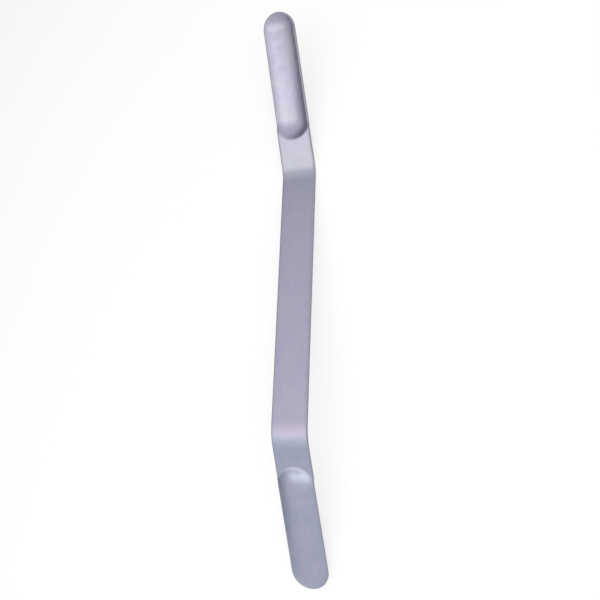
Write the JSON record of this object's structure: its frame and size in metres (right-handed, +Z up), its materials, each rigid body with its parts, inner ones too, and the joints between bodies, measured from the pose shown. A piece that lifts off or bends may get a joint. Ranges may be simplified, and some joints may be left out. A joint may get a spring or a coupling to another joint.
{
  "type": "surgical spatula",
  "caption": "Double-ended surgical spatula: a flat steel strip set in a shallow Z, hollow forged at both rounded ends.",
  "frame": {"origin": "on the table under the middle of the strip, the part lying at rest", "axes": "+X across the strip, +Y along it towards the end whose tip is raised, +Z up"},
  "size_m": [0.0126, 0.1953, 0.0182],
  "materials": {
    "satin_steel": "bead-blasted satin, faint bluish cast"
  },
  "bodies": {
    "root": {"spatula": "satin_steel"}
  },
  "joints": []
}
